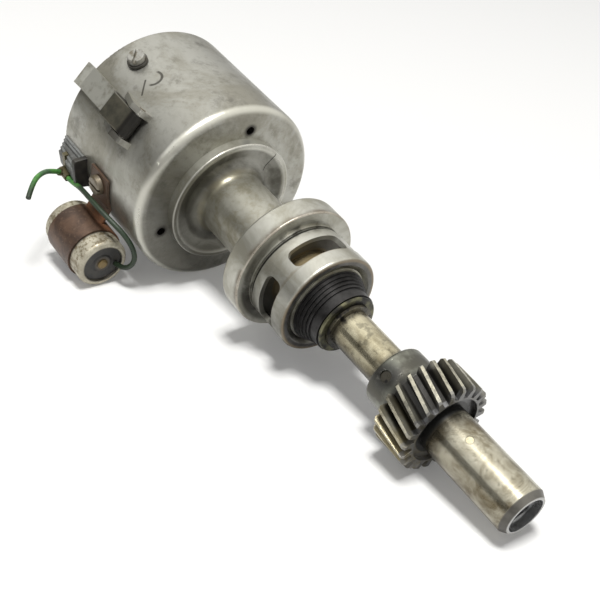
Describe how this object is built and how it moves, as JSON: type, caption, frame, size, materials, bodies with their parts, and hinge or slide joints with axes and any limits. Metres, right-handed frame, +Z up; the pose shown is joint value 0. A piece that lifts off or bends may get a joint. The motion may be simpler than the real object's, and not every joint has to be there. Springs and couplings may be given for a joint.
{
  "type": "ignition distributor",
  "caption": "Ignition distributor with its cap off: bowl with clips and condenser, flanged shank, windowed pilot sleeve, helical gear and hollow journal.",
  "frame": {"origin": "on the shaft's axis, in the collar's lower face, which seats on the engine block", "axes": "+Z up the shaft to the open mouth of the bowl; +X to the clip that the picture shows"},
  "size_m": [0.0864, 0.093, 0.2237],
  "materials": {
    "bowl_alloy": "worn cast alloy, oil stained",
    "shank_metal": "machined, oil stained",
    "bronze": "oily bearing bronze",
    "shaft_steel": "ground, oily",
    "gear_steel": "hobbed, dark oil in the gaps",
    "journal_steel": "ground and polished by use",
    "advance_steel": "pressed steel",
    "cam_steel": "hardened",
    "rotor_moulding": "black moulding",
    "brass": "dull",
    "plate_steel": "zinc plated",
    "small_steel": "rust stained",
    "fibre": "pressed fibre",
    "anchor_moulding": "black",
    "clip_steel": "spring steel, stained",
    "terminal_moulding": "grey moulding",
    "can_metal": "speckled zinc",
    "strap_metal": "rusty brown",
    "green_sleeving": "woven green sleeving"
  },
  "bodies": {
    "housing": {"shank_body": "shank_metal", "bowl_housing": "bowl_alloy", "upper_bush": "bronze", "lower_bush": "bronze", "breaker_plate": "plate_steel", "fixed_contact": "plate_steel", "lock_screw": "small_steel", "spring_anchor_post": "anchor_moulding", "side_screws": "small_steel", "side_washers": "small_steel", "clip_pins": "small_steel", "terminal_block": "terminal_moulding", "terminal_seal": "anchor_moulding", "terminal_tag": "brass", "condenser_can": "can_metal", "condenser_insulator": "anchor_moulding", "condenser_contact": "brass", "condenser_strap": "strap_metal", "condenser_screw": "small_steel", "condenser_lead": "green_sleeving", "lead_stub": "green_sleeving", "inner_lead": "green_sleeving"},
    "shaft": {"drive_shaft": "shaft_steel", "thrust_washer": "bronze", "retaining_ring": "shaft_steel", "drive_gear": "gear_steel", "gear_pin": "shaft_steel", "lower_journal": "journal_steel", "journal_pin": "shaft_steel", "advance_base": "advance_steel", "pivot_pins": "shaft_steel", "advance_springs": "advance_steel"},
    "cam": {"cam": "cam_steel", "cam_screw": "cam_steel", "rotor_body": "rotor_moulding", "rotor_blade": "brass"},
    "flyweight_1": {"flyweight_1": "advance_steel"},
    "flyweight_2": {"flyweight_2": "advance_steel"},
    "breaker_arm": {"breaker_arm": "plate_steel", "arm_heel": "fibre", "arm_spring": "small_steel"},
    "clip_1": {"cap_clip_1": "clip_steel"},
    "clip_2": {"cap_clip_2": "clip_steel"}
  },
  "joints": [
    {"name": "shaft_spin", "type": "hinge", "parent": "housing", "child": "shaft", "pos_m": [0, 0, 0], "axis": [0, 0, 1], "continuous": true},
    {"name": "cam_advance", "type": "hinge", "parent": "shaft", "child": "cam", "pos_m": [0, 0, 0], "axis": [0, 0, 1], "range_deg": [0, 10.8]},
    {"name": "flyweight_1_swing", "type": "hinge", "parent": "shaft", "child": "flyweight_1", "pos_m": [0.02, 0, 0], "axis": [0, 0, 1], "range_deg": [0, 10]},
    {"name": "flyweight_2_swing", "type": "hinge", "parent": "shaft", "child": "flyweight_2", "pos_m": [-0.02, 0, 0], "axis": [0, 0, 1], "range_deg": [0, 10]},
    {"name": "breaker_arm_swing", "type": "hinge", "parent": "housing", "child": "breaker_arm", "pos_m": [0.01603, -0.01857, 0.087], "axis": [0, 0, 1], "range_deg": [0, 5]},
    {"name": "clip_1_swing", "type": "hinge", "parent": "housing", "child": "clip_1", "pos_m": [0.0385, 0, 0.0642], "axis": [0, 1, 0], "range_deg": [0, 110]},
    {"name": "clip_2_swing", "type": "hinge", "parent": "housing", "child": "clip_2", "pos_m": [-0.0385, 0, 0.0642], "axis": [0, -1, 0], "range_deg": [0, 110]}
  ],
  "couplings": [
    {"joint": "flyweight_1_swing", "follows": "cam_advance", "ratio": 0.9208},
    {"joint": "flyweight_2_swing", "follows": "cam_advance", "ratio": 0.9208}
  ]
}
